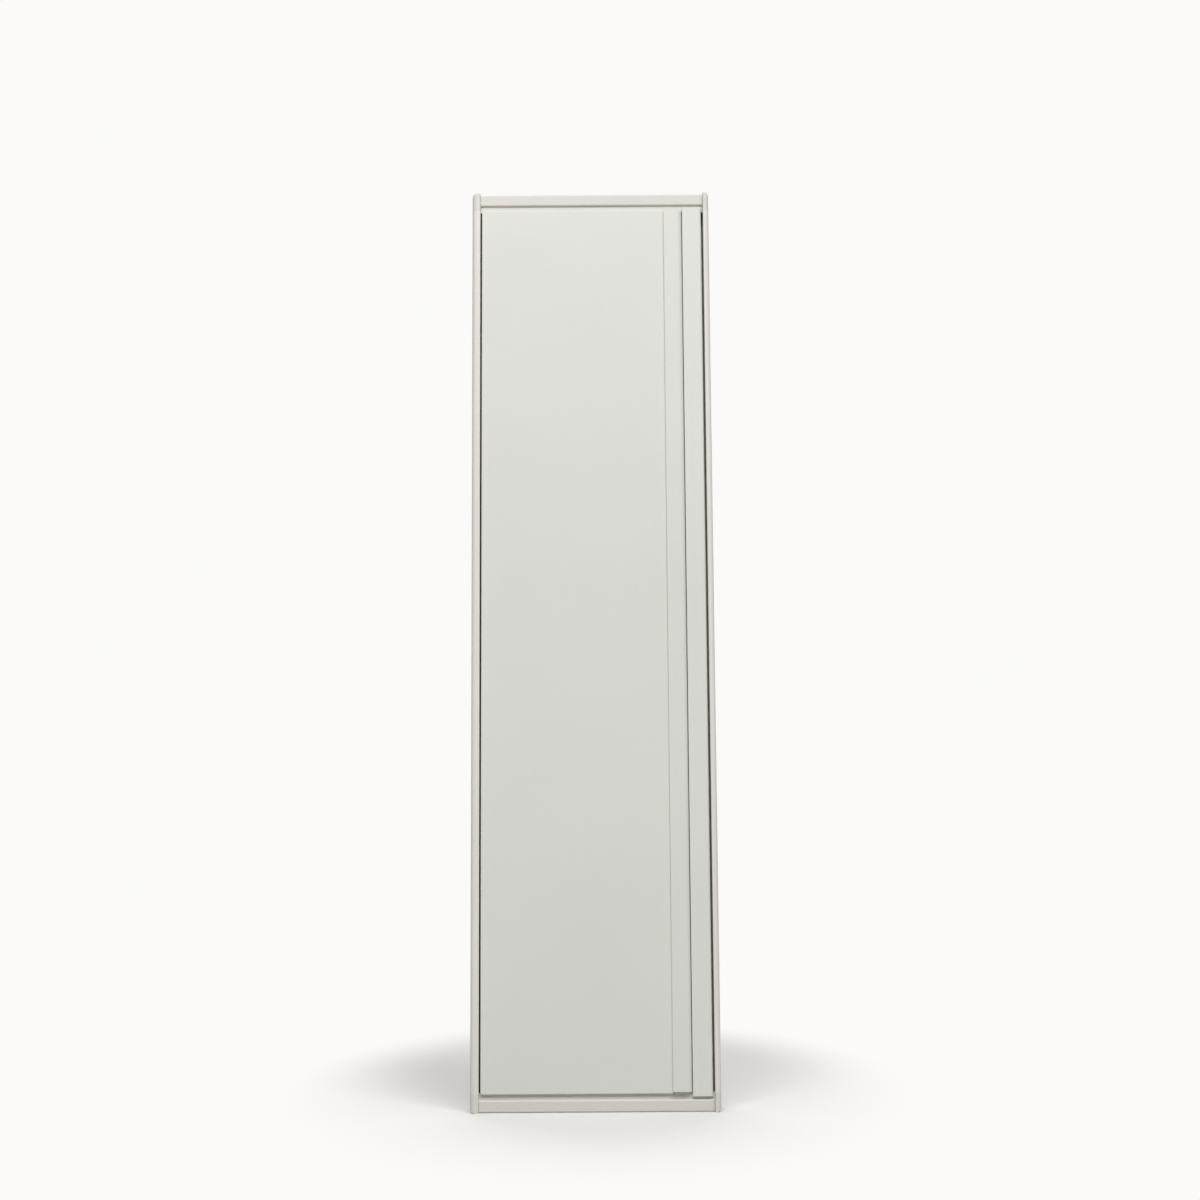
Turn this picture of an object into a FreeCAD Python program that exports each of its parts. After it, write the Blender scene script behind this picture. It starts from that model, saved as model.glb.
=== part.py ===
import FreeCAD, Part
import math
import os

# Letterbox draught excluder with a hinged cover flap and a twin brush seal, standing on one end.
# X runs across the width with the hinge side at +X, Y from the room side to the door side,
# Z along the length. The origin is at the middle of the lower end face.

# Overall size of the frame
body_length = 293.0
body_width = 77.0
body_depth = 22.0

# End caps, moulded
end_band = 5.45           # end of the frame, seen beyond the flap
flap_lap = 0.5            # end plate behind the end of the flap
band_gap = 0.15           # between the end plate and the flap's back
band_step = 3.85          # raised outer part of the end band
band_rise = 0.7           # raised part in front of the end plate
band_edge_radius = 0.55   # long front edges of the raised part
cap_corner_radius = 1.6   # outer corners of the end plate, seen from the front
post_length = 13.6        # seal post behind the flap, from the end plate to its inner wall
post_wall = 2.2           # inner wall of the post, the end of the letter slot
ledge_thickness = 1.5     # plate of the post that carries the end seal
cap_clearance = 0.1       # between the post and the rails beside it

# Rails, extruded
lower_wall = 2.6          # outer wall beside the flap's free edge
upper_wall = 1.85         # outer wall beside the hinge rail
wall_outer_radius = 1.35  # outer front edge of both walls
wall_inner_radius = 0.3   # inner front edge of both walls
web_thickness = 2.0       # back flange that lies on the door
section_wall = 1.5        # inner walls of both extrusions
front_plate = 12.9        # front plate of the lower rail, from its outer wall to the letter slot
front_plate_setback = 4.7 # front plate behind the frame's front

# Brush pockets in the rails
pocket_depth = 5.5
pocket_width = 5.0
pocket_lip = 0.8
pocket_lip_thickness = 1.0
brush_setback = 14.0      # middle of the brushes behind the frame's front

# Brushes: folded channel, core wire and bristles
channel_clearance = 0.1
channel_wall = 0.7
wire_radius = 0.7
bristle_thickness = 3.0
brush_tip_gap = 5.0       # between the tips of the two brushes
wire_clearance = 0.03
tuft_width = 6.2          # bristles that lie together along the brush
parting_width = 0.7       # between the tips of two tufts
parting_depth = 8.0       # from the tips towards the channel

# Cover flap, extruded, with its hinge knuckle
flap_edge_gap = 0.45      # beside the lower wall
flap_setback = 1.1        # panel behind the frame's front
flap_thickness = 1.1
flap_corner_radius = 0.8
flap_edge_radius = 0.4
strip_edge_radius = 0.25
knuckle_strip = 6.0       # raised strip over the hinge
knuckle_rise = 0.8        # strip above the panel
knuckle_wall = 0.95       # around the hinge rod's bore
knuckle_trim = 0.65       # strip cut back at each end

# Hinge
rod_radius = 0.65
rod_clearance = 0.05      # radial, in the knuckle and in the lugs
rod_end_clearance = 0.2
hinge_gap = 0.15          # between the knuckle and the hinge rail
lug_wall = 0.45           # end cap's hinge lug, around the rod
lug_length = 4.2
lug_floor = 0.3           # closed end of the lug's bore
lug_clearance = 0.1       # between the lug and the knuckle's counterbore

# Hinge rail, extruded
hinge_lip = 6.2           # width of the front lip
shadow_gap = 0.6          # between the lip and the upper wall
hinge_rail_drop = 0.8     # lip below the knuckle strip
hinge_lip_thickness = 1.1
hinge_lip_lap = 1.25      # lip over the end plates
hinge_lip_radius = 0.7    # edge beside the upper wall
hinge_lip_soft = 0.2      # edge beside the knuckle
hinge_leg = 1.35
hinge_arm_thickness = 1.4
hinge_arm_setback = 7.0   # arm that steadies the leg against the upper wall
groove_rib = 1.2          # ribs on the web that hold the leg
groove_height = 2.5
groove_clearance = 0.05

# Seals behind the flap
seal_gap = 0.2
lower_seal_width = 2.4
seal_side_gap = 0.1
seal_joint = 0.2

# Screws of the end caps and their ports in the rails
port_radius = 1.3
port_wall = 1.3
port_sink = 0.6           # how far the port's ring runs into the outer wall
screw_clearance = 0.05
screw_hole_radius = 1.6
screw_head_radius = 2.9
screw_head_recess = 0.2
screw_head_height = 1.6
screw_length = 16.0
drive_width = 0.7
drive_length = 3.4
drive_depth = 1.0

# Fixing holes in the upper rail's web, countersunk from the front
fixing_inset = 22.0       # from each end of the frame
fixing_hole_radius = 2.1
fixing_head_radius = 3.5
fixing_head_clearance = 0.1   # beside the knuckle and the brush pocket

# Places worked out from the sizes above
x_low = -body_width / 2
x_high = body_width / 2
y_front = -body_depth / 2
y_back = body_depth / 2
y_web = y_back - web_thickness
x_lower_wall = x_low + lower_wall
x_upper_wall = x_high - upper_wall
y_plate = y_front + front_plate_setback
y_brush = y_front + brush_setback
end_plate = end_band + flap_lap
rail_start = end_plate
rail_end = body_length - end_plate
lip_start = end_plate - hinge_lip_lap

flap_start = end_band
flap_end = body_length - flap_start
x_flap_edge = x_lower_wall + flap_edge_gap
y_panel = y_front + flap_setback
y_panel_back = y_panel + flap_thickness
y_strip = y_panel - knuckle_rise
y_lip = y_strip + hinge_rail_drop
x_lip_end = x_upper_wall - shadow_gap
x_leg = x_lip_end - hinge_lip
x_knuckle = x_leg - hinge_gap
knuckle_radius = rod_radius + rod_clearance + knuckle_wall
x_axis = x_knuckle - knuckle_radius
y_axis = y_strip + knuckle_radius
x_strip = x_knuckle - knuckle_strip
y_band = y_panel_back + band_gap
y_step = y_band - band_rise
knuckle_start = flap_start + knuckle_trim
knuckle_end = flap_end - knuckle_trim
bore_radius = rod_radius + rod_clearance
lug_radius = bore_radius + lug_wall
lug_end = end_plate + lug_length
rod_start = end_plate + lug_floor + rod_end_clearance
y_seal = y_panel_back + seal_gap

port_ring = port_radius + port_wall
x_upper_port = x_upper_wall - port_ring + port_sink
x_lower_port = x_lower_wall + port_ring - port_sink
x_fixing = x_axis - knuckle_radius - fixing_head_clearance - fixing_head_radius
x_slot_high = x_fixing - fixing_head_radius - fixing_head_clearance - section_wall - pocket_depth
x_slot_low = x_lower_wall + front_plate
x_slot_middle = (x_slot_low + x_slot_high) / 2
post_inner = end_plate + post_length + post_wall
brush_start = post_inner + cap_clearance
brush_end = body_length - brush_start


def block(x0, x1, y0, y1, z0, z1):
    corner = FreeCAD.Vector(min(x0, x1), min(y0, y1), min(z0, z1))
    return Part.makeBox(abs(x1 - x0), abs(y1 - y0), abs(z1 - z0), corner)


def round_bar(x, y, radius, z0, z1):
    return Part.makeCylinder(radius, z1 - z0, FreeCAD.Vector(x, y, z0))


def fused(shapes):
    return shapes[0].multiFuse(shapes[1:]).removeSplitter()


def other_end(shape):
    middle = FreeCAD.Vector(0, 0, body_length / 2)
    return shape.mirror(middle, FreeCAD.Vector(0, 0, 1))


def edges_along(shape, direction, test):
    found = []
    for edge in shape.Edges:
        if len(edge.Vertexes) != 2:
            continue
        run = edge.Vertexes[1].Point.sub(edge.Vertexes[0].Point)
        if run.Length > 1e-6 and abs(abs(run.normalize().dot(direction)) - 1) < 1e-6:
            if test(edge.CenterOfMass):
                found.append(edge)
    return found


def near(a, b):
    return abs(a - b) < 1e-4


# Brush pocket: two arms with lips, open towards the letter slot
def pocket_parts(x_mouth, side):
    x_lip = x_mouth + side * pocket_lip_thickness
    x_floor = x_mouth + side * pocket_depth
    parts = []
    for hand in (-1, 1):
        y_inside = y_brush + hand * pocket_width / 2
        y_outside = y_inside + hand * section_wall
        parts.append(block(x_mouth, x_floor, y_inside, y_outside, rail_start, rail_end))
        y_lip_edge = y_inside - hand * pocket_lip
        parts.append(block(x_mouth, x_lip, y_lip_edge, y_outside, rail_start, rail_end))
    x_wall = x_floor + side * section_wall
    y_arm = y_brush - pocket_width / 2 - section_wall
    parts.append(block(x_floor, x_wall, y_arm, y_back, rail_start, rail_end))
    return parts


# Long edge at that place in the section, rounded
def round_long_edge(shape, x, y, radius):
    along = FreeCAD.Vector(0, 0, 1)
    edges = edges_along(shape, along, lambda c: near(c.x, x) and near(c.y, y))
    return shape.makeFillet(radius, edges)


def make_upper_rail():
    x_floor = x_slot_high + pocket_depth
    parts = [block(x_upper_wall, x_high, y_front, y_back, rail_start, rail_end)]
    parts.append(block(x_floor, x_high, y_web, y_back, rail_start, rail_end))
    parts += pocket_parts(x_slot_high, 1)
    y_rib = y_web - groove_height
    for x_near, away in ((x_leg - groove_clearance, -1), (x_leg + hinge_leg + groove_clearance, 1)):
        x_far = x_near + away * groove_rib
        parts.append(block(x_near, x_far, y_rib, y_web, rail_start, rail_end))
    parts.append(round_bar(x_upper_port, y_brush, port_ring, rail_start, rail_end))
    ring_outside = block(x_high, x_high + port_ring, y_front, y_back, rail_start, rail_end)
    rail = fused(parts).cut(ring_outside)
    rail = rail.cut(round_bar(x_upper_port, y_brush, port_radius, rail_start, rail_end))
    rail = round_long_edge(rail, x_high, y_front, wall_outer_radius)
    rail = round_long_edge(rail, x_upper_wall, y_front, wall_inner_radius)
    through = FreeCAD.Vector(0, 1, 0)
    sink_depth = fixing_head_radius - fixing_hole_radius
    for z in (fixing_inset, body_length - fixing_inset):
        seat = FreeCAD.Vector(x_fixing, y_web, z)
        hole = Part.makeCylinder(fixing_hole_radius, web_thickness, seat, through)
        sink = Part.makeCone(fixing_head_radius, fixing_hole_radius, sink_depth, seat, through)
        rail = rail.cut(hole).cut(sink)
    return rail


def make_lower_rail():
    x_floor = x_slot_low - pocket_depth
    y_arm = y_brush - pocket_width / 2
    parts = [block(x_low, x_lower_wall, y_front, y_back, rail_start, rail_end)]
    parts.append(block(x_low, x_floor, y_web, y_back, rail_start, rail_end))
    parts += pocket_parts(x_slot_low, -1)
    y_plate_back = y_plate + section_wall
    parts.append(block(x_lower_wall, x_slot_low, y_plate, y_plate_back, rail_start, rail_end))
    x_inner = x_slot_low - section_wall
    parts.append(block(x_inner, x_slot_low, y_plate, y_arm, rail_start, rail_end))
    parts.append(round_bar(x_lower_port, y_brush, port_ring, rail_start, rail_end))
    ring_outside = block(x_low, x_low - port_ring, y_front, y_back, rail_start, rail_end)
    rail = fused(parts).cut(ring_outside)
    rail = rail.cut(round_bar(x_lower_port, y_brush, port_radius, rail_start, rail_end))
    rail = round_long_edge(rail, x_low, y_front, wall_outer_radius)
    return round_long_edge(rail, x_lower_wall, y_front, wall_inner_radius)


# Hinge rail: front lip, leg down to the web and an arm against the upper wall
def make_hinge_rail():
    x_leg_far = x_leg + hinge_leg
    y_arm = y_front + hinge_arm_setback
    lip = block(x_leg, x_lip_end, y_lip, y_lip + hinge_lip_thickness, lip_start, body_length - lip_start)
    leg = block(x_leg, x_leg_far, y_lip, y_web, rail_start, rail_end)
    arm = block(x_leg, x_upper_wall, y_arm, y_arm + hinge_arm_thickness, rail_start, rail_end)
    rail = fused([lip, leg, arm])
    rail = round_long_edge(rail, x_lip_end, y_lip, hinge_lip_radius)
    return round_long_edge(rail, x_leg, y_lip, hinge_lip_soft)


# End plate: side horns that carry on the rails' walls, and a stepped end band set back between them
def make_end_plate():
    parts = [block(x_low, x_high, y_band, y_back, 0, end_plate)]
    for x_outer, x_inner in ((x_low, x_lower_wall), (x_high, x_upper_wall)):
        parts.append(block(x_outer, x_inner, y_front, y_back, 0, end_plate))
    plate = fused(parts)
    for x_outer, x_inner in ((x_low, x_lower_wall), (x_high, x_upper_wall)):
        plate = round_long_edge(plate, x_outer, y_front, wall_outer_radius)
        plate = round_long_edge(plate, x_inner, y_front, wall_inner_radius)
    step = block(x_lower_wall, x_upper_wall, y_step, y_band, 0, band_step)
    across = FreeCAD.Vector(1, 0, 0)
    step = step.makeFillet(band_edge_radius, edges_along(step, across, lambda c: near(c.y, y_step)))
    plate = plate.fuse(step).removeSplitter()
    for x_outer, inward in ((x_low, 1), (x_high, -1)):
        plate = plate.cut(corner_waste(x_outer, inward))
    return plate


# What is cut away to round one outer corner of the end plate, seen from the front
def corner_waste(x_outer, inward):
    x_centre = x_outer + inward * cap_corner_radius
    corner = block(x_outer, x_centre, y_front, y_back, 0, cap_corner_radius)
    axis_start = FreeCAD.Vector(x_centre, y_front, cap_corner_radius)
    return corner.cut(Part.makeCylinder(cap_corner_radius, body_depth, axis_start, FreeCAD.Vector(0, 1, 0)))


# End cap: end plate, a lug on it for the hinge rod, and a box post open towards the door
def make_end_cap():
    plate = make_end_plate()
    x_post_low = x_slot_low + cap_clearance
    x_post_high = x_slot_high - cap_clearance
    y_ledge = y_plate + ledge_thickness
    post_end = end_plate + post_length
    x_ledge_end = x_slot_high + pocket_depth
    ledge = block(x_post_low, x_ledge_end, y_plate, y_ledge, end_plate, post_inner)
    inner = block(x_post_low, x_post_high, y_ledge, y_back, post_end, post_inner)
    sides = []
    for x_side, away in ((x_post_low, 1), (x_post_high, -1)):
        x_far = x_side + away * ledge_thickness
        sides.append(block(x_side, x_far, y_ledge, y_back, end_plate, post_end))
    lug = round_bar(x_axis, y_axis, lug_radius, end_plate, lug_end)
    cap = fused([plate, ledge, inner, lug] + sides)
    cap = cap.cut(round_bar(x_axis, y_axis, bore_radius, end_plate + lug_floor, lug_end))
    for x_port in (x_lower_port, x_upper_port):
        cap = cap.cut(round_bar(x_port, y_brush, screw_hole_radius, 0, end_plate))
        cap = cap.cut(screw_head(x_port, y_brush, 0, screw_clearance, screw_head_recess))
    return cap


# Countersunk head with its seat angle, pointing along +Z from z
def screw_head(x, y, z, allowance, recess):
    top = screw_head_radius + allowance
    shank = port_radius - screw_clearance + allowance
    base = FreeCAD.Vector(x, y, z + recess)
    cone = Part.makeCone(top, shank, screw_head_height + allowance, base)
    if recess == 0:
        return cone
    return cone.fuse(round_bar(x, y, top, z, z + recess))


def make_screw(x, y):
    head = screw_head(x, y, screw_head_recess, 0, 0)
    shank = round_bar(x, y, port_radius - screw_clearance, screw_head_recess, screw_length)
    screw = head.fuse(shank).removeSplitter()
    drive_end = screw_head_recess + drive_depth
    for half_x, half_y in ((drive_length / 2, drive_width / 2), (drive_width / 2, drive_length / 2)):
        slot = block(x - half_x, x + half_x, y - half_y, y + half_y, screw_head_recess, drive_end)
        screw = screw.cut(slot)
    return screw


# Panel of the flap, with its free corners and front edge softened
def make_panel():
    panel = block(x_flap_edge, x_strip, y_panel, y_panel_back, flap_start, flap_end)
    deep = FreeCAD.Vector(0, 1, 0)
    corners = edges_along(panel, deep, lambda c: near(c.x, x_flap_edge))
    panel = panel.makeFillet(flap_corner_radius, corners)
    front = []
    for edge in panel.Edges:
        box = edge.BoundBox
        if near(box.YMax, y_panel) and box.XMin < x_strip - flap_edge_radius:
            front.append(edge)
    return panel.makeFillet(flap_edge_radius, front)


# Raised strip and hinge knuckle, one section shorter than the panel
def make_knuckle():
    reach = y_panel_back - y_axis
    x_meet = x_axis - math.sqrt(knuckle_radius ** 2 - reach ** 2)
    back = FreeCAD.Vector(x_strip, y_panel_back, knuckle_start)
    front = FreeCAD.Vector(x_strip, y_strip, knuckle_start)
    top = FreeCAD.Vector(x_axis, y_strip, knuckle_start)
    outer = FreeCAD.Vector(x_axis + knuckle_radius, y_axis, knuckle_start)
    meet = FreeCAD.Vector(x_meet, y_panel_back, knuckle_start)
    edges = [Part.LineSegment(back, front).toShape(), Part.LineSegment(front, top).toShape()]
    edges.append(Part.Arc(top, outer, meet).toShape())
    edges.append(Part.LineSegment(meet, back).toShape())
    section = Part.Face(Part.Wire(edges))
    knuckle = section.extrude(FreeCAD.Vector(0, 0, knuckle_end - knuckle_start))
    knuckle = round_long_edge(knuckle, x_strip, y_strip, strip_edge_radius)
    knuckle = knuckle.cut(round_bar(x_axis, y_axis, bore_radius, knuckle_start, knuckle_end))
    seat = round_bar(x_axis, y_axis, lug_radius + lug_clearance, knuckle_start, lug_end + lug_clearance)
    return knuckle.cut(seat).cut(other_end(seat))


# Cover flap: panel, raised strip and knuckle in one piece
def make_flap():
    return fused([make_panel(), make_knuckle()])


def make_hinge_rod():
    return round_bar(x_axis, y_axis, rod_radius, rod_start, body_length - rod_start)


# Bristles from the fold to the tips, parted into tufts by narrow notches
def make_tufts(x_fold, x_tip, side):
    run = brush_end - brush_start
    tufts = round(run / tuft_width)
    outline = [(x_fold, brush_start), (x_tip, brush_start)]
    for index in range(1, tufts):
        z = brush_start + run * index / tufts
        outline.append((x_tip, z - parting_width / 2))
        outline.append((x_tip + side * parting_depth, z))
        outline.append((x_tip, z + parting_width / 2))
    outline += [(x_tip, brush_end), (x_fold, brush_end), (x_fold, brush_start)]
    y_low = y_brush - bristle_thickness / 2
    wire = Part.makePolygon([FreeCAD.Vector(x, y_low, z) for x, z in outline])
    return Part.Face(wire).extrude(FreeCAD.Vector(0, bristle_thickness, 0))


# One brush on its rail: side is the way from the slot into the rail
def make_brush(x_mouth, side):
    half = pocket_width / 2 - channel_clearance
    x_open = x_mouth + side * (pocket_lip_thickness + channel_clearance)
    x_floor = x_mouth + side * (pocket_depth - channel_clearance)
    outer = block(x_open, x_floor, y_brush - half, y_brush + half, brush_start, brush_end)
    x_inside = x_floor - side * channel_wall
    gap = half - channel_wall
    hollow = block(x_open, x_inside, y_brush - gap, y_brush + gap, brush_start, brush_end)
    channel = outer.cut(hollow)
    x_wire = x_inside - side * (bristle_thickness / 2)
    wire = round_bar(x_wire, y_brush, wire_radius, brush_start, brush_end)
    wire_hole = round_bar(x_wire, y_brush, wire_radius + wire_clearance, brush_start, brush_end)
    x_tip = x_slot_middle + side * brush_tip_gap / 2
    bristles = make_tufts(x_inside, x_tip, side).cut(wire_hole)
    return channel, wire, bristles


# Seals: a post pad at each end and a narrow strip along the lower rail
def make_end_seal():
    x_start = x_lower_wall + seal_side_gap
    x_end = x_slot_high + pocket_depth
    return block(x_start, x_end, y_seal, y_plate, end_plate + seal_joint, end_plate + post_length)


def make_lower_seal():
    start = end_plate + post_length + seal_joint
    x_start = x_lower_wall + seal_side_gap
    x_end = x_start + lower_seal_width
    return block(x_start, x_end, y_seal, y_plate, start, body_length - start)


os.makedirs("parts", exist_ok=True)

end_cap = make_end_cap()
end_seal = make_end_seal()
upper_channel, upper_wire, upper_bristles = make_brush(x_slot_high, 1)
lower_channel, lower_wire, lower_bristles = make_brush(x_slot_low, -1)
end_screws = [make_screw(x, y_brush) for x in (x_lower_port, x_upper_port)]
all_screws = end_screws + [other_end(screw) for screw in end_screws]

nodes = {
    "upper_rail": make_upper_rail(),
    "lower_rail": make_lower_rail(),
    "hinge_rail": make_hinge_rail(),
    "bottom_end_cap": end_cap,
    "top_end_cap": other_end(end_cap),
    "flap": make_flap(),
    "hinge_rod": make_hinge_rod(),
    "upper_brush_channel": upper_channel,
    "upper_brush_wire": upper_wire,
    "upper_bristles": upper_bristles,
    "lower_brush_channel": lower_channel,
    "lower_brush_wire": lower_wire,
    "lower_bristles": lower_bristles,
    "bottom_end_seal": end_seal,
    "top_end_seal": other_end(end_seal),
    "lower_seal": make_lower_seal(),
    "end_cap_screws": Part.makeCompound(all_screws),
}

for name, shape in nodes.items():
    shape.exportStep(f"parts/{name}.step")
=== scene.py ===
import math
import random

import bmesh
import bpy
from mathutils import Matrix, Vector


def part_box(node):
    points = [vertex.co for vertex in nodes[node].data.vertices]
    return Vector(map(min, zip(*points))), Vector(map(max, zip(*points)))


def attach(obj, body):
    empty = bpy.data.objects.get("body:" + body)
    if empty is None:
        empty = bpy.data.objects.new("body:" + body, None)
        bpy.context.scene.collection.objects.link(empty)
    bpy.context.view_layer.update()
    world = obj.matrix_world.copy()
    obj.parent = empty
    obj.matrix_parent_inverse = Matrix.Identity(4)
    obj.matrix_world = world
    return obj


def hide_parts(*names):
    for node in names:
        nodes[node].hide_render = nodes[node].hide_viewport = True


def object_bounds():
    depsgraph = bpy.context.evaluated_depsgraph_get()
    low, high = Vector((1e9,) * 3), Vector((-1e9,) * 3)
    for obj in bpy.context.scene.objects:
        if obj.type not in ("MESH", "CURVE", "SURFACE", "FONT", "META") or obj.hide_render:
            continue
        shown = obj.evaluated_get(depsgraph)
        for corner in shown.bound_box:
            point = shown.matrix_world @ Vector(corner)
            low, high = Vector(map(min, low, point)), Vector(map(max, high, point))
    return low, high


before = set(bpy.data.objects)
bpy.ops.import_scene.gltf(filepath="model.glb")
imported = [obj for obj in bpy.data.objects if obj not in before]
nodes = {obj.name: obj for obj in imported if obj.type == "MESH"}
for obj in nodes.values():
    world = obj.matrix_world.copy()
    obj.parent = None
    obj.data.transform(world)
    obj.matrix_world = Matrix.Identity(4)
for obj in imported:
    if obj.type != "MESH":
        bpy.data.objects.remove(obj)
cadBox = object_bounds()
mm = 0.001
touch = 1e-6  # metres, closer than this is the same place
rng = random.Random(41)


def newObject(name, bm, material, body):
    mesh = bpy.data.meshes.new(name)
    bm.to_mesh(mesh)
    bm.free()
    piece = bpy.data.objects.new(name, mesh)
    bpy.context.scene.collection.objects.link(piece)
    mesh.materials.append(material)
    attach(piece, body)
    return piece


# Shader helpers

def newMaterial(name):
    material = bpy.data.materials.new(name)
    material.use_nodes = True
    tree = material.node_tree
    return material, tree, tree.nodes["Principled BSDF"]


def addNode(tree, kind, **settings):
    node = tree.nodes.new(kind)
    for key, value in settings.items():
        setattr(node, key, value)
    return node


def setInputs(node, **values):
    for key, value in values.items():
        node.inputs[key.replace("_", " ")].default_value = value


def ramp(tree, source, low, high, fromLow=0.3, fromHigh=0.7):
    node = addNode(tree, "ShaderNodeMapRange")
    setInputs(node, From_Min=fromLow, From_Max=fromHigh, To_Min=low, To_Max=high)
    tree.links.new(source, node.inputs["Value"])
    return node.outputs["Result"]


def mixColor(tree, mask, first, second):
    node = addNode(tree, "ShaderNodeMix", data_type="RGBA")
    node.inputs["A"].default_value = (*first, 1)
    node.inputs["B"].default_value = (*second, 1)
    tree.links.new(mask, node.inputs["Factor"])
    return node.outputs["Result"]


def addMath(tree, operation, first, second):
    node = addNode(tree, "ShaderNodeMath", operation=operation)
    for socket, value in zip(node.inputs, (first, second)):
        if isinstance(value, (int, float)):
            socket.default_value = value
        else:
            tree.links.new(value, socket)
    return node.outputs["Value"]


def addBump(tree, shader, height, strength, distance):
    bump = addNode(tree, "ShaderNodeBump")
    setInputs(bump, Strength=strength, Distance=distance)
    tree.links.new(height, bump.inputs["Height"])
    tree.links.new(bump.outputs["Normal"], shader.inputs["Normal"])


def newGroup(name, inputs, outputs):
    group = bpy.data.node_groups.new(name, "ShaderNodeTree")
    for label, value in inputs.items():
        socket = group.interface.new_socket(label, in_out="INPUT", socket_type="NodeSocketFloat")
        socket.default_value = value
    for label in outputs:
        group.interface.new_socket(label, in_out="OUTPUT", socket_type="NodeSocketFloat")
    return group, addNode(group, "NodeGroupInput"), addNode(group, "NodeGroupOutput")


def placeGroup(tree, group, **values):
    node = addNode(tree, "ShaderNodeGroup", node_tree=group)
    setInputs(node, **values)
    return node


def noiseIn(tree, vector, scaleSocket=None, scale=1.0, detail=2.0):
    noise = addNode(tree, "ShaderNodeTexNoise")
    setInputs(noise, Scale=scale, Detail=detail)
    tree.links.new(vector, noise.inputs["Vector"])
    if scaleSocket is not None:
        tree.links.new(scaleSocket, noise.inputs["Scale"])
    return noise.outputs["Fac"]


# Skin of coats and mouldings: fine orange peel, slow mottle and faint specks
def makePeelGroup():
    inputs = {"Peel Scale": 900, "Mottle Scale": 30}
    group, given, out = newGroup("powderPeel", inputs, ["Peel", "Mottle", "Speck"])
    coords = addNode(group, "ShaderNodeTexCoord").outputs["Object"]
    peel = noiseIn(group, coords, given.outputs["Peel Scale"], detail=3)
    mottle = noiseIn(group, coords, given.outputs["Mottle Scale"], detail=4)
    speck = noiseIn(group, coords, scale=2600, detail=1)  # specks of about 0.4 mm
    for label, value in (("Peel", peel), ("Mottle", mottle), ("Speck", speck)):
        group.links.new(value, out.inputs[label])
    return group


# Faint lines that an extrusion die or a drawing plate leaves along the length
def makeLinesGroup():
    group, given, out = newGroup("dieLines", {"Across": 1400, "Along": 3}, ["Lines"])
    coords = addNode(group, "ShaderNodeTexCoord").outputs["Object"]
    split = addNode(group, "ShaderNodeSeparateXYZ")
    group.links.new(coords, split.inputs["Vector"])
    join = addNode(group, "ShaderNodeCombineXYZ")
    for axis, label in (("X", "Across"), ("Y", "Across"), ("Z", "Along")):
        scaled = addMath(group, "MULTIPLY", split.outputs[axis], given.outputs[label])
        group.links.new(scaled, join.inputs[axis])
    group.links.new(noiseIn(group, join.outputs["Vector"]), out.inputs["Lines"])
    return group


peelGroup = makePeelGroup()
linesGroup = makeLinesGroup()

# White coats on the metal, and the moulded caps
coats = {
    "flapCoat": {
        "pale": (0.702, 0.709, 0.664), "deep": (0.682, 0.689, 0.644),
        "rough": (0.36, 0.46), "peel": 1100,
    },
    "frameCoat": {
        "pale": (0.745, 0.726, 0.680), "deep": (0.720, 0.700, 0.653),
        "rough": (0.38, 0.48), "peel": 1100,
    },
    "capPlastic": {
        "pale": (0.680, 0.664, 0.620), "deep": (0.656, 0.640, 0.596),
        "rough": (0.44, 0.54), "peel": 2200,
    },
}
coatSkin = {
    "mottle": 26, "across": 1100, "along": 2.5, "lineShare": 0.35,
    "bump": 0.35, "depth": 0.06 * mm,
}


def makeCoat(name):
    look = coats[name]
    material, tree, shader = newMaterial(name)
    peel = placeGroup(tree, peelGroup, Peel_Scale=look["peel"], Mottle_Scale=coatSkin["mottle"])
    lines = placeGroup(tree, linesGroup, Across=coatSkin["across"], Along=coatSkin["along"])
    color = mixColor(tree, ramp(tree, peel.outputs["Mottle"], 0, 1), look["deep"], look["pale"])
    tree.links.new(color, shader.inputs["Base Color"])
    tree.links.new(ramp(tree, peel.outputs["Speck"], *look["rough"]), shader.inputs["Roughness"])
    height = addMath(tree, "MULTIPLY_ADD", lines.outputs["Lines"], coatSkin["lineShare"])
    tree.links.new(peel.outputs["Peel"], height.node.inputs[2])
    addBump(tree, shader, height, coatSkin["bump"], coatSkin["depth"])
    return material


# Bare metals: rod, brush channels, core wires and screws
metals = {
    "rodSteel": {
        "pale": (0.62, 0.61, 0.59), "deep": (0.46, 0.45, 0.44), "rough": (0.22, 0.36), "across": 3000,
    },
    "channelSteel": {
        "pale": (0.60, 0.62, 0.63), "deep": (0.42, 0.44, 0.45), "rough": (0.32, 0.52), "across": 600,
    },
    "wireSteel": {
        "pale": (0.50, 0.49, 0.47), "deep": (0.36, 0.35, 0.34), "rough": (0.3, 0.45), "across": 2500,
    },
    "screwZinc": {
        "pale": (0.68, 0.68, 0.65), "deep": (0.50, 0.51, 0.52), "rough": (0.24, 0.42), "across": 900,
    },
}
metalSkin = {"peel": 700, "mottle": 320, "along": 8, "bump": 0.25, "depth": 0.04 * mm}


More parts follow.
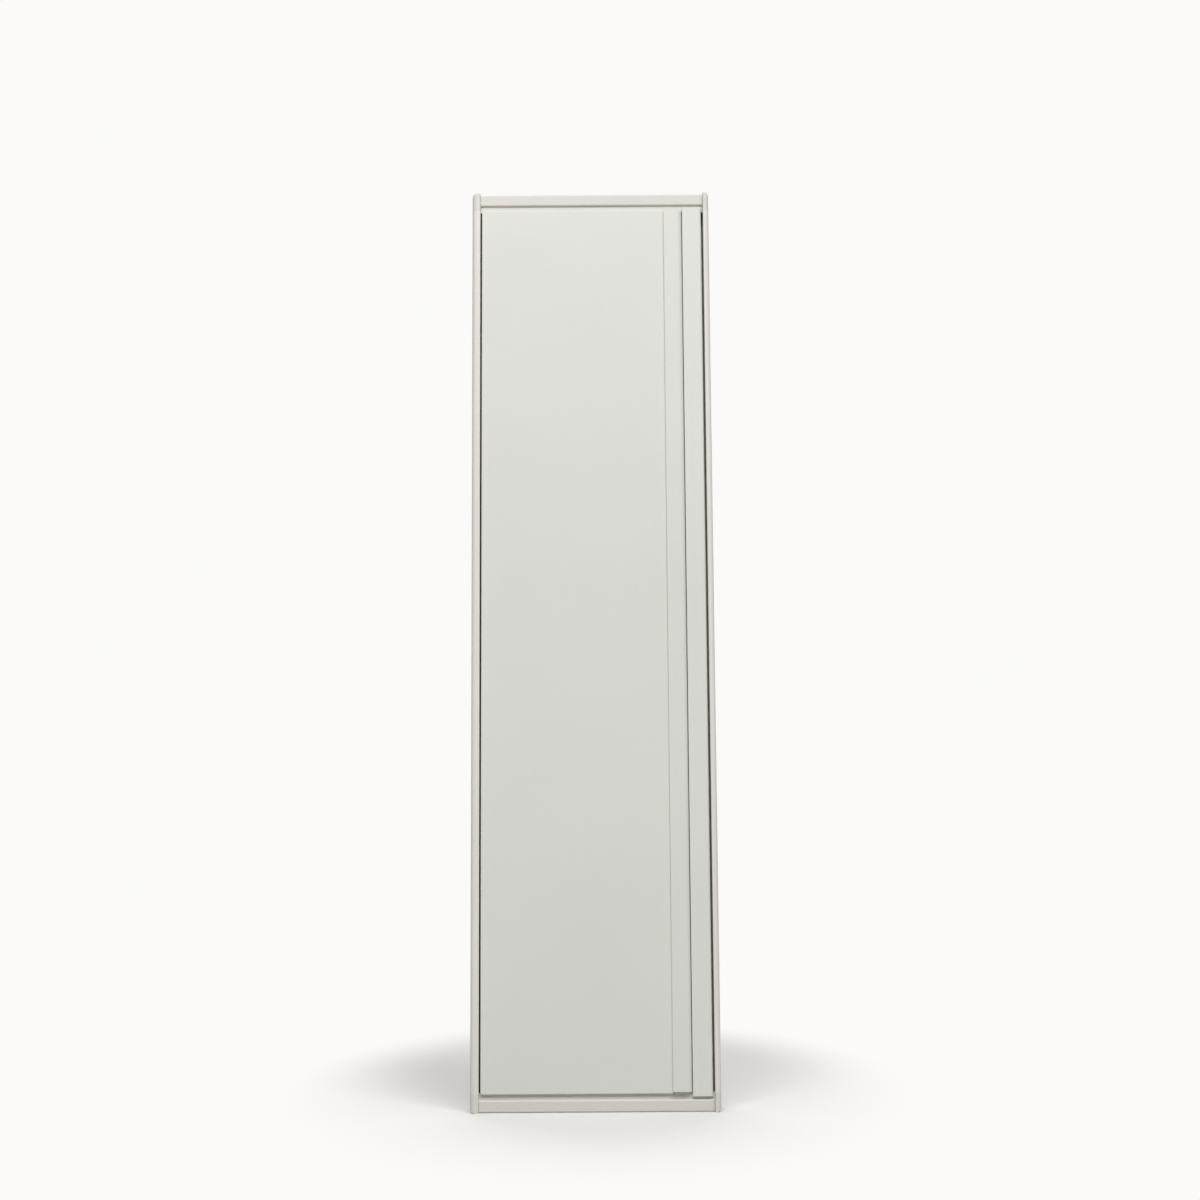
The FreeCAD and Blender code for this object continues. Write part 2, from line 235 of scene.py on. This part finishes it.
def makeMetal(name):
    look = metals[name]
    material, tree, shader = newMaterial(name)
    setInputs(shader, Metallic=1.0)
    lines = placeGroup(tree, linesGroup, Across=look["across"], Along=metalSkin["along"])
    peel = placeGroup(tree, peelGroup, Peel_Scale=metalSkin["peel"], Mottle_Scale=metalSkin["mottle"])
    drawn = ramp(tree, lines.outputs["Lines"], 0, 0.5)
    patchy = ramp(tree, peel.outputs["Mottle"], 0, 0.5)
    color = mixColor(tree, addMath(tree, "ADD", drawn, patchy), look["deep"], look["pale"])
    tree.links.new(color, shader.inputs["Base Color"])
    tree.links.new(ramp(tree, peel.outputs["Peel"], *look["rough"]), shader.inputs["Roughness"])
    addBump(tree, shader, lines.outputs["Lines"], metalSkin["bump"], metalSkin["depth"])
    return material


# Black sponge with its cut cells, and painted shade that colours the hollow of each cell darker than its
# rim
foam = {
    "cells": 2400, "cellEdge": (0.05, 0.6), "deep": (0.008, 0.008, 0.009), "pale": (0.026, 0.026, 0.028),
    "peel": 1500, "mottle": 90, "rough": (0.78, 0.95), "shine": 0.3, "bump": 0.6, "depth": 0.2 * mm,
}


def makeFoam():
    material, tree, shader = newMaterial("sealFoam")
    coords = addNode(tree, "ShaderNodeTexCoord").outputs["Object"]
    cells = addNode(tree, "ShaderNodeTexVoronoi")
    setInputs(cells, Scale=foam["cells"])
    tree.links.new(coords, cells.inputs["Vector"])
    peel = placeGroup(tree, peelGroup, Peel_Scale=foam["peel"], Mottle_Scale=foam["mottle"])
    # painted shade: the mask darkens the cell centres, where the bump sinks into hollows
    mask = ramp(tree, cells.outputs["Distance"], 0, 1, *foam["cellEdge"])
    tree.links.new(mixColor(tree, mask, foam["deep"], foam["pale"]), shader.inputs["Base Color"])
    tree.links.new(ramp(tree, peel.outputs["Mottle"], *foam["rough"]), shader.inputs["Roughness"])
    setInputs(shader, Specular_IOR_Level=foam["shine"])
    addBump(tree, shader, cells.outputs["Distance"], foam["bump"], foam["depth"])
    return material


# Black nylon filament, paler in places
nylon = {
    "deep": (0.010, 0.010, 0.011), "pale": (0.034, 0.033, 0.035), "rough": (0.32, 0.52),
    "peel": 1800, "mottle": 260,
}


def makeNylon():
    material, tree, shader = newMaterial("bristleNylon")
    peel = placeGroup(tree, peelGroup, Peel_Scale=nylon["peel"], Mottle_Scale=nylon["mottle"])
    color = mixColor(tree, ramp(tree, peel.outputs["Peel"], 0, 1), nylon["deep"], nylon["pale"])
    tree.links.new(color, shader.inputs["Base Color"])
    tree.links.new(ramp(tree, peel.outputs["Mottle"], *nylon["rough"]), shader.inputs["Roughness"])
    return material


finishes = {name: makeCoat(name) for name in coats}
finishes.update({name: makeMetal(name) for name in metals})
finishes["sealFoam"] = makeFoam()
finishes["bristleNylon"] = makeNylon()

nodeFinish = {
    "flap": "flapCoat", "hinge_rail": "flapCoat", "upper_rail": "frameCoat", "lower_rail": "frameCoat",
    "bottom_end_cap": "capPlastic", "top_end_cap": "capPlastic", "hinge_rod": "rodSteel",
    "upper_brush_channel": "channelSteel", "lower_brush_channel": "channelSteel",
    "upper_brush_wire": "wireSteel", "lower_brush_wire": "wireSteel", "end_cap_screws": "screwZinc",
    "upper_bristles": "bristleNylon", "lower_bristles": "bristleNylon",
    "bottom_end_seal": "sealFoam", "top_end_seal": "sealFoam", "lower_seal": "sealFoam",
}
for nodeName, finish in nodeFinish.items():
    for slotItem in nodes[nodeName].material_slots:
        slotItem.material = finishes[finish]
print("finishes on", len(nodeFinish), "nodes")


# Brushes: filaments folded over the core wire, gripped in the channel and parted into tufts at the tips
brush = {
    "pitch": 0.22 * mm, "rows": 11, "faceRows": 2, "thick": 0.25 * mm, "tipThick": 0.20 * mm, "sides": 3,
    "reach": 2.3 * mm, "uneven": 0.35 * mm, "longer": 0.2, "splay": 0.2 * mm, "splayAcross": 0.12 * mm,
    "tufts": 40, "parting": (0.2 * mm, 0.95 * mm), "strays": 0.2, "straySpread": 0.7 * mm,
    "wireClear": 0.04 * mm, "rootClear": 0.1 * mm, "foldSteps": 10,
}


# One filament, a metre long and cut half way, where it bends
def makeStrandMesh():
    bm = bmesh.new()
    bmesh.ops.create_cone(bm, cap_ends=True, cap_tris=True, segments=brush["sides"],
                          radius1=brush["thick"] / 2, radius2=brush["tipThick"] / 2, depth=1.0)
    bmesh.ops.translate(bm, verts=bm.verts, vec=(0, 0, 0.5))
    longEdges = [e for e in bm.edges if abs(e.verts[0].co.z - e.verts[1].co.z) > 0.5]
    bmesh.ops.subdivide_edges(bm, edges=longEdges, cuts=1)
    bmesh.ops.triangulate(bm, faces=bm.faces)
    mesh = bpy.data.meshes.new("strand")
    bm.to_mesh(mesh)
    bm.free()
    return mesh


# The loop of filaments round the core wire, inside the channel
def addFold(bm, wireLow, wireHigh, thickness, side):
    centre = (wireLow + wireHigh) / 2
    inner = (wireHigh.x - wireLow.x) / 2 + brush["wireClear"]
    outer = thickness / 2
    corners = [(inner, wireLow.z), (outer, wireLow.z), (outer, wireHigh.z), (inner, wireHigh.z)]
    verts = [bm.verts.new((centre.x, centre.y - r, z)) for r, z in corners]
    face = bm.faces.new(verts)
    bmesh.ops.spin(bm, geom=[face, *face.edges, *verts], cent=(centre.x, centre.y, 0), axis=(0, 0, 1),
                   angle=math.pi * side, steps=brush["foldSteps"], use_duplicate=False)
    bmesh.ops.recalc_face_normals(bm, faces=bm.faces)


# A filament put in place: straight out of the channel, then leaning into its tuft from half way
def addStrand(bm, strand, start, end, side):
    bm.from_mesh(strand)
    bm.verts.ensure_lookup_table()
    for vert in bm.verts[-len(strand.vertices):]:
        along = vert.co.z
        lean = max(0.0, 2 * along - 1)
        x = start.x + (end.x - start.x) * along
        y = start.y + (end.y - start.y) * along + vert.co.y
        z = start.z + (end.z - start.z) * lean + side * vert.co.x  # the side keeps faces outward
        vert.co = (x, y, z)


def makeBrush(name, wireName, side, strand):
    low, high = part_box(name)
    wireLow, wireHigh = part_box(wireName)
    bm = bmesh.new()
    addFold(bm, wireLow, wireHigh, high.y - low.y, side)
    root = wireLow.x - brush["rootClear"] if side > 0 else wireHigh.x + brush["rootClear"]
    tip = low.x if side > 0 else high.x
    half = brush["thick"] / 2
    front, back = low.y + half, high.y - half
    bottom, top = low.z + half, high.z - half
    tuftRun = (high.z - low.z) / brush["tufts"]
    pulls = [rng.uniform(*brush["parting"]) / tuftRun for tuft in range(brush["tufts"])]
    lastRow = brush["rows"] - 1
    for row in range(brush["rows"]):
        rowY = front + (back - front) * row / lastRow
        count = int((high.z - low.z) / brush["pitch"])
        if brush["faceRows"] <= row <= lastRow - brush["faceRows"]:
            count //= 2  # rows inside the brush are thinner set
        for step in range(count):
            # every other row is set half a step along
            rootZ = bottom + (top - bottom) * (step + 0.5 * (row % 2)) / count
            tuft = min(int((rootZ - low.z) / tuftRun), brush["tufts"] - 1)
            middle = low.z + (tuft + 0.5) * tuftRun
            if rng.random() < brush["strays"]:
                tipZ = rootZ + rng.uniform(-1, 1) * brush["straySpread"]
            else:
                tipZ = rootZ + (middle - rootZ) * pulls[tuft] + rng.uniform(-1, 1) * brush["splay"]
            tipY = rowY + rng.uniform(-1, 1) * brush["splayAcross"]
            tipX = tip - side * (brush["reach"] + rng.uniform(-1, brush["longer"]) * brush["uneven"])
            end = Vector((tipX, min(max(tipY, front), back), min(max(tipZ, bottom), top)))
            addStrand(bm, strand, Vector((root, rowY, rootZ)), end, side)
    pieceName = name.replace("_", "") + "Strands"
    piece = newObject(pieceName, bm, finishes["bristleNylon"], "frame")
    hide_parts(name)


strandMesh = makeStrandMesh()
makeBrush("upper_bristles", "upper_brush_wire", 1, strandMesh)
makeBrush("lower_bristles", "lower_brush_wire", -1, strandMesh)
bpy.data.meshes.remove(strandMesh)
print("brushes done")


# Sponge seals behind the flap: soft edged and a little uneven
seal = {"round": 0.45 * mm, "roundSteps": 3, "cell": 2.4 * mm, "uneven": 0.05 * mm}


def makeSeal(node):
    low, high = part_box(node)
    size = high - low
    bm = bmesh.new()
    bmesh.ops.create_cube(bm, size=1.0)
    bmesh.ops.scale(bm, vec=size, verts=bm.verts)
    bmesh.ops.translate(bm, vec=(low + high) / 2, verts=bm.verts)
    frontEdges = [e for e in bm.edges if all(abs(v.co.y - low.y) < touch for v in e.verts)]
    bmesh.ops.bevel(bm, geom=frontEdges, offset=seal["round"], offset_type="OFFSET", affect="EDGES",
                    segments=seal["roundSteps"], profile=0.5, material=-1)
    longAxis = 2 if size.z > size.x else 0
    for axis in (longAxis, 2 - longAxis):
        cuts = int(size[axis] / seal["cell"])
        for cut in range(1, cuts):
            plane = low.copy()
            plane[axis] = low[axis] + size[axis] * cut / cuts
            normal = Vector((0, 0, 0))
            normal[axis] = 1
            bmesh.ops.bisect_plane(bm, geom=[*bm.verts, *bm.edges, *bm.faces], dist=touch,
                                   plane_co=plane, plane_no=normal)
    for vert in bm.verts:
        if vert.co.y < high.y - touch:
            vert.co.y += rng.uniform(0, 1) * seal["uneven"]
    bmesh.ops.recalc_face_normals(bm, faces=bm.faces)
    pieceName = node.replace("_", "") + "Sponge"
    piece = newObject(pieceName, bm, finishes["sealFoam"], "frame")
    for face in piece.data.polygons:
        face.use_smooth = True
    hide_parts(node)


for sealNode in ("bottom_end_seal", "top_end_seal", "lower_seal"):
    makeSeal(sealNode)
print("seals done")


# Floor and white surround
stage = {
    "size": 8.0, "albedo": 0.45, "white": (1, 0.992, 0.972), "whiteLevel": 0.965,
    "shadowAlbedo": 0.85, "fadeFrom": 0.06, "fadeTo": 0.118, "fadeBehind": 0.17, "fadeStretch": 0.32,
}


def seenMask(tree):
    path = addNode(tree, "ShaderNodeLightPath")
    mask = addMath(tree, "MAXIMUM", path.outputs["Is Camera Ray"], path.outputs["Is Glossy Ray"])
    return addMath(tree, "MAXIMUM", mask, path.outputs["Is Transmission Ray"])


def mixShaders(tree, mask, first, second):
    node = addNode(tree, "ShaderNodeMixShader")
    tree.links.new(mask, node.inputs[0])
    tree.links.new(first, node.inputs[1])
    tree.links.new(second, node.inputs[2])
    return node.outputs[0]


def addGlow(tree, strength):
    glow = addNode(tree, "ShaderNodeEmission")
    glow.inputs["Color"].default_value = (*stage["white"], 1)
    glow.inputs["Strength"].default_value = strength
    return glow.outputs[0]


def addMatt(tree, level):
    matt = addNode(tree, "ShaderNodeBsdfDiffuse")
    matt.inputs["Color"].default_value = (*[level * part for part in stage["white"]], 1)
    return matt.outputs[0]


# How far a floor point lies out of an oval round the object that runs further behind it than in front
def addFade(tree):
    coords = addNode(tree, "ShaderNodeTexCoord")
    oval = addNode(tree, "ShaderNodeMapping")
    shift = -stage["fadeBehind"] * stage["fadeStretch"]
    setInputs(oval, Location=(0, shift, 0), Scale=(1, stage["fadeStretch"], 1))
    tree.links.new(coords.outputs["Object"], oval.inputs["Vector"])
    reach = addNode(tree, "ShaderNodeVectorMath", operation="LENGTH")
    tree.links.new(oval.outputs["Vector"], reach.inputs[0])
    fade = addNode(tree, "ShaderNodeMapRange", interpolation_type="SMOOTHSTEP")
    setInputs(fade, From_Min=stage["fadeFrom"], From_Max=stage["fadeTo"])
    tree.links.new(reach.outputs["Value"], fade.inputs["Value"])
    return fade.outputs["Result"]


# White floor that keeps the shadow near the object and runs out into the surround
def makeFloor():
    bm = bmesh.new()
    bmesh.ops.create_grid(bm, x_segments=1, y_segments=1, size=stage["size"] / 2)
    mesh = bpy.data.meshes.new("floor")
    bm.to_mesh(mesh)
    bm.free()
    floor = bpy.data.objects.new("floor", mesh)
    bpy.context.scene.collection.objects.link(floor)
    material, tree, shader = newMaterial("floorWhite")
    tree.nodes.remove(shader)
    near = addMatt(tree, stage["shadowAlbedo"])
    far = addGlow(tree, stage["whiteLevel"])
    seen = mixShaders(tree, addFade(tree), near, far)
    both = mixShaders(tree, seenMask(tree), addMatt(tree, stage["albedo"]), seen)
    tree.links.new(both, tree.nodes["Material Output"].inputs["Surface"])
    mesh.materials.append(material)


# Soft studio light: the key high in front, a weaker one behind for the back
lights = {
    "world": 0.24, "target": (0, 0, 0.15),
    "panels": [
        {"name": "keySoftbox", "at": (0.12, -1.25, 1.35), "size": (1.3, 0.8), "watts": 27.4},
        {"name": "backSoftbox", "at": (-0.10, 1.40, 1.40), "size": (1.2, 0.8), "watts": 13.0},
    ],
}


def makeWorld():
    world = bpy.data.worlds.new("surround")
    bpy.context.scene.world = world
    world.use_nodes = True
    tree = world.node_tree
    background = tree.nodes["Background"]
    level = ramp(tree, seenMask(tree), lights["world"], stage["whiteLevel"], 0, 1)
    tree.links.new(level, background.inputs["Strength"])
    background.inputs["Color"].default_value = (*stage["white"], 1)


def makeLights():
    target = Vector(lights["target"])
    for spec in lights["panels"]:
        data = bpy.data.lights.new(spec["name"], "AREA")
        data.shape = "RECTANGLE"
        data.size, data.size_y = spec["size"]
        data.energy = spec["watts"]
        lamp = bpy.data.objects.new(spec["name"], data)
        lamp.location = spec["at"]
        lamp.rotation_euler = (target - lamp.location).to_track_quat("-Z", "Y").to_euler()
        bpy.context.scene.collection.objects.link(lamp)


# Camera square on to the flap, low and looking up a little, as the widths in the photograph show
camera = {
    "away": 0.651, "height": 0.0614, "aside": 0.0023, "tiltDeg": 8.49, "rollDeg": -0.37,
    "lens": 62.3, "sensor": 36,
}


def makeCamera():
    data = bpy.data.cameras.new("camera")
    data.lens = camera["lens"]
    data.sensor_width = camera["sensor"]
    obj = bpy.data.objects.new("camera", data)
    front = cadBox[0].y
    obj.location = (camera["aside"], front - camera["away"], camera["height"])
    tilt = Matrix.Rotation(math.pi / 2 + math.radians(camera["tiltDeg"]), 3, "X")
    roll = Matrix.Rotation(math.radians(camera["rollDeg"]), 3, "Z")
    obj.rotation_euler = (tilt @ roll).to_euler()
    bpy.context.scene.collection.objects.link(obj)
    bpy.context.scene.camera = obj


makeFloor()
makeWorld()
makeLights()
makeCamera()
bpy.context.scene.view_settings.view_transform = "Standard"
print("stage, light and camera done")
